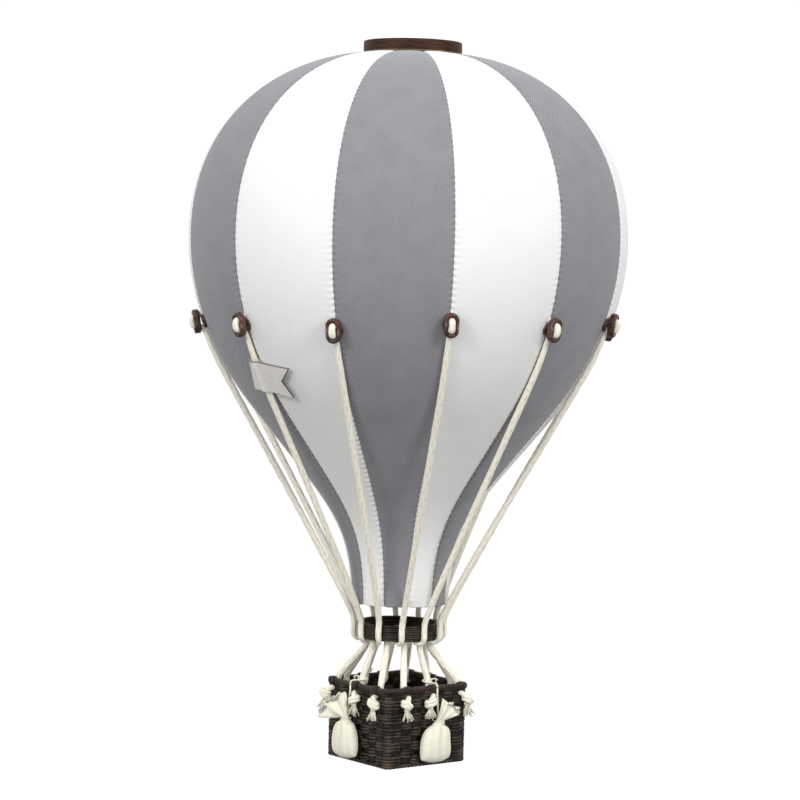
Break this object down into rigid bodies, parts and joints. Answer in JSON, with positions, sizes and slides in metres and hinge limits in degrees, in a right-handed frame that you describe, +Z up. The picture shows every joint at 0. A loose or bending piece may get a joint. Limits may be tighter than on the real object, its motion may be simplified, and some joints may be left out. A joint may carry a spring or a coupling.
{
  "type": "hanging decorative model hot air balloon",
  "caption": "Hanging decor model of a hot air balloon: striped fabric envelope on a moulded form, wooden crown and toggles, cord stays, load ring, wicker basket and swinging sandbags.",
  "frame": {"origin": "the top of the inside of the hanging eye, on the envelope's axis, where the hanging cord or hook bears", "axes": "+Z up along the envelope's axis; X and Y parallel to the basket's sides"},
  "size_m": [0.3008, 0.3008, 0.4975],
  "materials": {
    "grey_fabric": "grey cotton twill",
    "white_fabric": "white cotton twill",
    "form_card": "rough moulded card",
    "crown_wood": "dark brown stained wood, satin",
    "toggle_wood": "reddish brown polished wood",
    "cotton_cord": "cream braided cotton cord",
    "muslin": "cream muslin",
    "wicker": "dark brown lacquered wicker",
    "eye_brass": "plain brass",
    "tag_card": "pale woven tag with a dark edge"
  },
  "bodies": {
    "root": {"envelope_form_1": "form_card", "envelope_form_2": "form_card", "envelope_form_3": "form_card", "envelope_form_4": "form_card", "envelope_form_5": "form_card", "envelope_form_6": "form_card", "gore_01": "white_fabric", "gore_02": "grey_fabric", "gore_03": "white_fabric", "gore_04": "grey_fabric", "gore_05": "white_fabric", "gore_06": "grey_fabric", "gore_07": "white_fabric", "gore_08": "grey_fabric", "gore_09": "white_fabric", "gore_10": "grey_fabric", "gore_11": "white_fabric", "gore_12": "grey_fabric", "crown_ring": "crown_wood", "crown_disc": "crown_wood", "hanging_eye": "eye_brass", "toggle_01": "toggle_wood", "toggle_02": "toggle_wood", "toggle_03": "toggle_wood", "toggle_04": "toggle_wood", "toggle_05": "toggle_wood", "toggle_06": "toggle_wood", "toggle_07": "toggle_wood", "toggle_08": "toggle_wood", "toggle_09": "toggle_wood", "toggle_10": "toggle_wood", "toggle_11": "toggle_wood", "toggle_12": "toggle_wood", "stay_01": "cotton_cord", "stay_02": "cotton_cord", "stay_03": "cotton_cord", "stay_04": "cotton_cord", "stay_05": "cotton_cord", "stay_06": "cotton_cord", "stay_07": "cotton_cord", "stay_08": "cotton_cord", "stay_09": "cotton_cord", "stay_10": "cotton_cord", "stay_11": "cotton_cord", "stay_12": "cotton_cord", "load_ring": "wicker", "basket_rim": "wicker", "basket_wall": "wicker", "basket_floor": "wicker", "bag_tie_1": "muslin", "bag_tie_2": "muslin", "bag_tie_3": "muslin", "bag_tie_4": "muslin", "tag_flag": "tag_card"},
    "bag_1": {"bag_1": "muslin"},
    "bag_2": {"bag_2": "muslin"},
    "bag_3": {"bag_3": "muslin"},
    "bag_4": {"bag_4": "muslin"}
  },
  "joints": [
    {"name": "bag_1_swing", "type": "hinge", "parent": "root", "child": "bag_1", "pos_m": [-0.037, 0.005, -0.443], "axis": [0, 1, 0], "range_deg": [0, 70]},
    {"name": "bag_2_swing", "type": "hinge", "parent": "root", "child": "bag_2", "pos_m": [0.0062, -0.037, -0.443], "axis": [-1, 0, 0], "range_deg": [0, 70]},
    {"name": "bag_3_swing", "type": "hinge", "parent": "root", "child": "bag_3", "pos_m": [0.037, 0.0087, -0.443], "axis": [0, -1, 0], "range_deg": [0, 70]},
    {"name": "bag_4_swing", "type": "hinge", "parent": "root", "child": "bag_4", "pos_m": [-0.0009, 0.037, -0.443], "axis": [1, 0, 0], "range_deg": [0, 70]}
  ]
}
